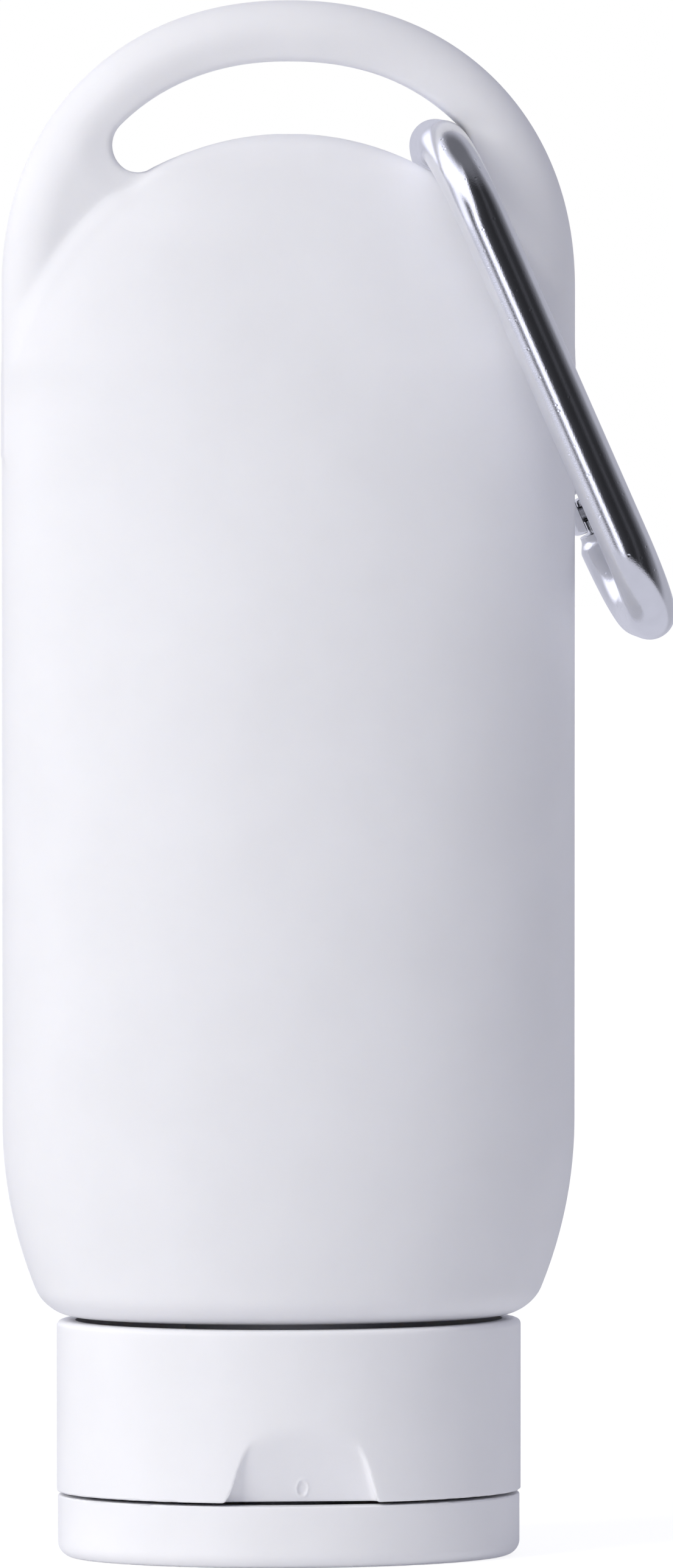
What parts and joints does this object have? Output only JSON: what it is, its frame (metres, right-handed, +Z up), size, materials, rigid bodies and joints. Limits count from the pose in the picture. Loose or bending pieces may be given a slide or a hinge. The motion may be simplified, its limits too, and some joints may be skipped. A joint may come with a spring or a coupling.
{
  "type": "sunscreen bottle",
  "caption": "Oval squeeze bottle that stands on its flip-top closure, with a moulded carrying ring over its dome and a small carabiner hung in the ring.",
  "frame": {"origin": "centre of the flat underside of the closed lid, on which the bottle stands", "axes": "+Z up along the bottle, from the lid to the carrying ring; front with the thumb recess towards -Y; the carabiner hangs at +X"},
  "size_m": [0.0581, 0.0304, 0.1351],
  "materials": {
    "bottle_plastic": "white blow-moulded polyethylene, satin",
    "closure_plastic": "white injection-moulded polypropylene, fine satin",
    "tumbled_aluminium": "tumbled bright with a fine grain",
    "pin_steel": "bright",
    "spring_steel": "drawn wire"
  },
  "bodies": {
    "bottle": {"bottle": "bottle_plastic", "closure_base": "closure_plastic", "living_hinge": "closure_plastic"},
    "lid": {"flip_lid": "closure_plastic"},
    "carabiner": {"carabiner_hook": "tumbled_aluminium"},
    "gate": {"carabiner_gate": "tumbled_aluminium", "gate_hinge_pin": "pin_steel", "gate_latch_pin": "pin_steel", "gate_spring": "spring_steel", "spring_plunger": "pin_steel"}
  },
  "joints": [
    {"name": "lid_hinge", "type": "hinge", "parent": "bottle", "child": "lid", "pos_m": [0, 0.0137, 0.00555], "axis": [1, 0, 0], "range_deg": [0, 150], "deforming": ["living_hinge"]},
    {"name": "carabiner_swing", "type": "hinge", "parent": "bottle", "child": "carabiner", "pos_m": [0.01306, 0, 0.12261], "axis": [0, -1, 0], "range_deg": [0, 150]},
    {"name": "gate_open", "type": "hinge", "parent": "carabiner", "child": "gate", "pos_m": [0.01719, 0.01035, 0.11328], "axis": [-0.9146, 0, -0.4043], "range_deg": [0, 12], "stiffness_Nm_per_rad": 0.02, "springref_deg": -20.05}
  ]
}
